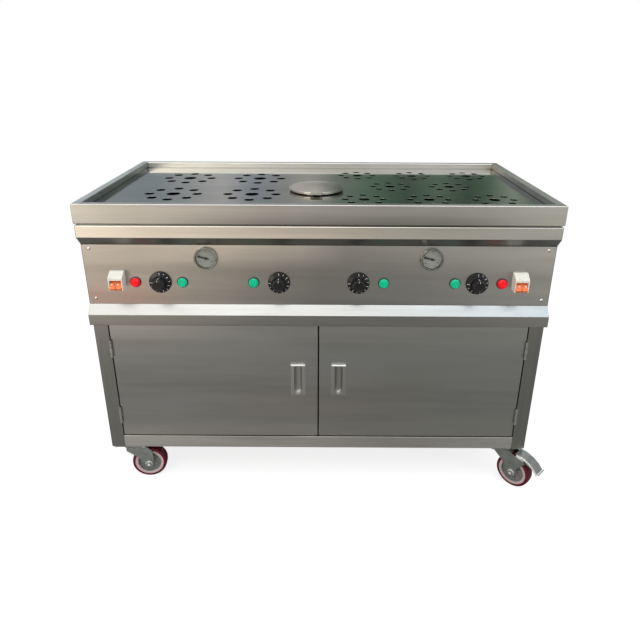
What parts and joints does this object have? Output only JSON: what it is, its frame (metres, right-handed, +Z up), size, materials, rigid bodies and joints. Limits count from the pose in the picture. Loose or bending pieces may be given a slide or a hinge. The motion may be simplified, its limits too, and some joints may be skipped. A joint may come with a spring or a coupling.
{
  "type": "dim sum steamer counter",
  "caption": "Free-standing water-heated steamer counter with a perforated recessed deck, control panel, two-door cabinet and swivel casters.",
  "frame": {"origin": "on the floor under the middle of the counter", "axes": "+Z up, +X to the right for someone facing the controls, which face -Y"},
  "size_m": [1.297, 0.687, 0.85],
  "materials": {
    "rim_steel": "satin brushed stainless",
    "deck_steel": "bright polished stainless",
    "lid_steel": "satin stainless",
    "fascia_steel": "satin brushed stainless",
    "panel_steel": "fine brushed stainless",
    "housing_steel": "satin brushed stainless",
    "cabinet_steel": "satin brushed stainless",
    "frame_steel": "satin brushed stainless",
    "door_steel": "satin brushed stainless",
    "liner_steel": "mill stainless",
    "pull_steel": "satin stainless",
    "hinge_steel": "satin stainless",
    "pin_steel": "bright steel",
    "tank_steel": "mill stainless",
    "element_steel": "heat-darkened steel",
    "thermostat_case": "moulded phenolic",
    "knob_black": "black moulded",
    "lamp_black": "black moulded",
    "lens_red": "translucent red",
    "lens_green": "translucent green",
    "breaker_white": "white moulded",
    "toggle_orange": "orange moulded",
    "gauge_bezel": "bright plated",
    "dial_face": "printed white",
    "gauge_glass": "clear",
    "needle_black": "black enamel",
    "screw_steel": "bright",
    "drain_pipe": "bright steel",
    "valve_brass": "cast and turned brass",
    "lever_red": "dipped red",
    "gland_black": "black nylon",
    "catch_grey": "grey moulded",
    "caster_zinc": "zinc plated pressed steel",
    "pedal_zinc": "zinc plated pressed steel",
    "wheel_tread": "moulded maroon polyurethane"
  },
  "bodies": {
    "counter": {"rim_frame": "rim_steel", "deck_plate": "deck_steel", "upper_fascia": "fascia_steel", "control_panel": "panel_steel", "lower_fascia": "fascia_steel", "upper_ends": "housing_steel", "upper_back": "housing_steel", "cabinet_back": "cabinet_steel", "cabinet_sides": "cabinet_steel", "cabinet_floor": "cabinet_steel", "cabinet_ceiling": "cabinet_steel", "corner_posts": "frame_steel", "frame_rails": "frame_steel", "water_tanks": "tank_steel", "heating_elements": "element_steel", "thermostats": "thermostat_case", "lamp_bodies": "lamp_black", "red_lenses": "lens_red", "green_lenses": "lens_green", "breaker_bodies": "breaker_white", "gauge_cases": "gauge_bezel", "gauge_dials": "dial_face", "gauge_glasses": "gauge_glass", "panel_screws": "screw_steel", "drain_pipes": "drain_pipe", "drain_valves": "valve_brass", "cable_gland": "gland_black", "door_catches": "catch_grey", "frame_hinge_leaves": "hinge_steel", "hinge_pins": "pin_steel", "caster_plates": "caster_zinc"},
    "lid": {"lid": "lid_steel"},
    "left_door": {"left_door_skin": "door_steel", "left_door_liner": "liner_steel", "left_door_pull": "pull_steel", "left_hinge_leaves": "hinge_steel"},
    "right_door": {"right_door_skin": "door_steel", "right_door_liner": "liner_steel", "right_door_pull": "pull_steel", "right_hinge_leaves": "hinge_steel"},
    "knob_outer_left": {"knob_outer_left": "knob_black"},
    "knob_inner_left": {"knob_inner_left": "knob_black"},
    "knob_inner_right": {"knob_inner_right": "knob_black"},
    "knob_outer_right": {"knob_outer_right": "knob_black"},
    "toggle_left": {"toggle_left": "toggle_orange"},
    "needle_left": {"needle_left": "needle_black"},
    "drain_lever_left": {"drain_lever_left": "lever_red"},
    "toggle_right": {"toggle_right": "toggle_orange"},
    "needle_right": {"needle_right": "needle_black"},
    "drain_lever_right": {"drain_lever_right": "lever_red"},
    "caster_fork_front_right": {"caster_fork_front_right": "caster_zinc"},
    "caster_wheel_front_right": {"caster_wheel_front_right": "wheel_tread"},
    "brake_pedal_front_right": {"brake_pedal_front_right": "pedal_zinc"},
    "caster_fork_front_left": {"caster_fork_front_left": "caster_zinc"},
    "caster_wheel_front_left": {"caster_wheel_front_left": "wheel_tread"},
    "caster_fork_rear_left": {"caster_fork_rear_left": "caster_zinc"},
    "caster_wheel_rear_left": {"caster_wheel_rear_left": "wheel_tread"},
    "brake_pedal_rear_left": {"brake_pedal_rear_left": "pedal_zinc"},
    "caster_fork_rear_right": {"caster_fork_rear_right": "caster_zinc"},
    "caster_wheel_rear_right": {"caster_wheel_rear_right": "wheel_tread"}
  },
  "joints": [
    {"name": "lid_lift", "type": "slide", "parent": "counter", "child": "lid", "axis": [0, 0, 1], "range_m": [0, 0.25]},
    {"name": "left_door_hinge", "type": "hinge", "parent": "counter", "child": "left_door", "pos_m": [-0.5586, -0.2834, 0.345], "axis": [0, 0, -1], "range_deg": [0, 165]},
    {"name": "right_door_hinge", "type": "hinge", "parent": "counter", "child": "right_door", "pos_m": [0.5586, -0.2834, 0.345], "axis": [0, 0, 1], "range_deg": [0, 165]},
    {"name": "knob_outer_left_turn", "type": "hinge", "parent": "counter", "child": "knob_outer_left", "pos_m": [-0.407, -0.29, 0.641], "axis": [0, 1, 0], "range_deg": [0, 270]},
    {"name": "knob_inner_left_turn", "type": "hinge", "parent": "counter", "child": "knob_inner_left", "pos_m": [-0.102, -0.29, 0.641], "axis": [0, 1, 0], "range_deg": [0, 270]},
    {"name": "knob_inner_right_turn", "type": "hinge", "parent": "counter", "child": "knob_inner_right", "pos_m": [0.102, -0.29, 0.641], "axis": [0, 1, 0], "range_deg": [0, 270]},
    {"name": "knob_outer_right_turn", "type": "hinge", "parent": "counter", "child": "knob_outer_right", "pos_m": [0.407, -0.29, 0.641], "axis": [0, 1, 0], "range_deg": [0, 270]},
    {"name": "toggle_left_switch", "type": "hinge", "parent": "counter", "child": "toggle_left", "pos_m": [-0.514, -0.292, 0.645], "axis": [-1, 0, 0], "range_deg": [0, 45]},
    {"name": "needle_left_sweep", "type": "hinge", "parent": "counter", "child": "needle_left", "pos_m": [-0.286, -0.283, 0.707], "axis": [0, 1, 0], "range_deg": [0, 230]},
    {"name": "drain_lever_left_turn", "type": "hinge", "parent": "counter", "child": "drain_lever_left", "pos_m": [-0.2915, 0.0772, 0.5], "axis": [0, 1, 0], "range_deg": [0, 90]},
    {"name": "toggle_right_switch", "type": "hinge", "parent": "counter", "child": "toggle_right", "pos_m": [0.514, -0.292, 0.645], "axis": [-1, 0, 0], "range_deg": [0, 45]},
    {"name": "needle_right_sweep", "type": "hinge", "parent": "counter", "child": "needle_right", "pos_m": [0.286, -0.283, 0.707], "axis": [0, 1, 0], "range_deg": [0, 230]},
    {"name": "drain_lever_right_turn", "type": "hinge", "parent": "counter", "child": "drain_lever_right", "pos_m": [0.2915, 0.0772, 0.5], "axis": [0, 1, 0], "range_deg": [0, 90]},
    {"name": "swivel_front_right", "type": "hinge", "parent": "counter", "child": "caster_fork_front_right", "pos_m": [0.5495, -0.2445, 0.112], "axis": [0, 0, 1], "continuous": true},
    {"name": "roll_front_right", "type": "hinge", "parent": "caster_fork_front_right", "child": "caster_wheel_front_right", "pos_m": [0.58061, -0.27561, 0.05], "axis": [0.7071, 0.7071, 0], "continuous": true},
    {"name": "brake_front_right", "type": "hinge", "parent": "caster_fork_front_right", "child": "brake_pedal_front_right", "pos_m": [0.599, -0.294, 0.102], "axis": [0.7071, 0.7071, 0], "range_deg": [0, 8]},
    {"name": "swivel_front_left", "type": "hinge", "parent": "counter", "child": "caster_fork_front_left", "pos_m": [-0.5495, -0.2445, 0.112], "axis": [0, 0, 1], "continuous": true},
    {"name": "roll_front_left", "type": "hinge", "parent": "caster_fork_front_left", "child": "caster_wheel_front_left", "pos_m": [-0.50567, -0.24066, 0.05], "axis": [-0.0872, 0.9962, 0], "continuous": true},
    {"name": "swivel_rear_left", "type": "hinge", "parent": "counter", "child": "caster_fork_rear_left", "pos_m": [-0.5495, 0.2445, 0.112], "axis": [0, 0, 1], "continuous": true},
    {"name": "roll_rear_left", "type": "hinge", "parent": "caster_fork_rear_left", "child": "caster_wheel_rear_left", "pos_m": [-0.58061, 0.27561, 0.05], "axis": [-0.7071, -0.7071, 0], "continuous": true},
    {"name": "brake_rear_left", "type": "hinge", "parent": "caster_fork_rear_left", "child": "brake_pedal_rear_left", "pos_m": [-0.599, 0.294, 0.102], "axis": [-0.7071, -0.7071, 0], "range_deg": [0, 8]},
    {"name": "swivel_rear_right", "type": "hinge", "parent": "counter", "child": "caster_fork_rear_right", "pos_m": [0.5495, 0.2445, 0.112], "axis": [0, 0, 1], "continuous": true},
    {"name": "roll_rear_right", "type": "hinge", "parent": "caster_fork_rear_right", "child": "caster_wheel_rear_right", "pos_m": [0.50567, 0.24066, 0.05], "axis": [0.0872, -0.9962, 0], "continuous": true}
  ]
}
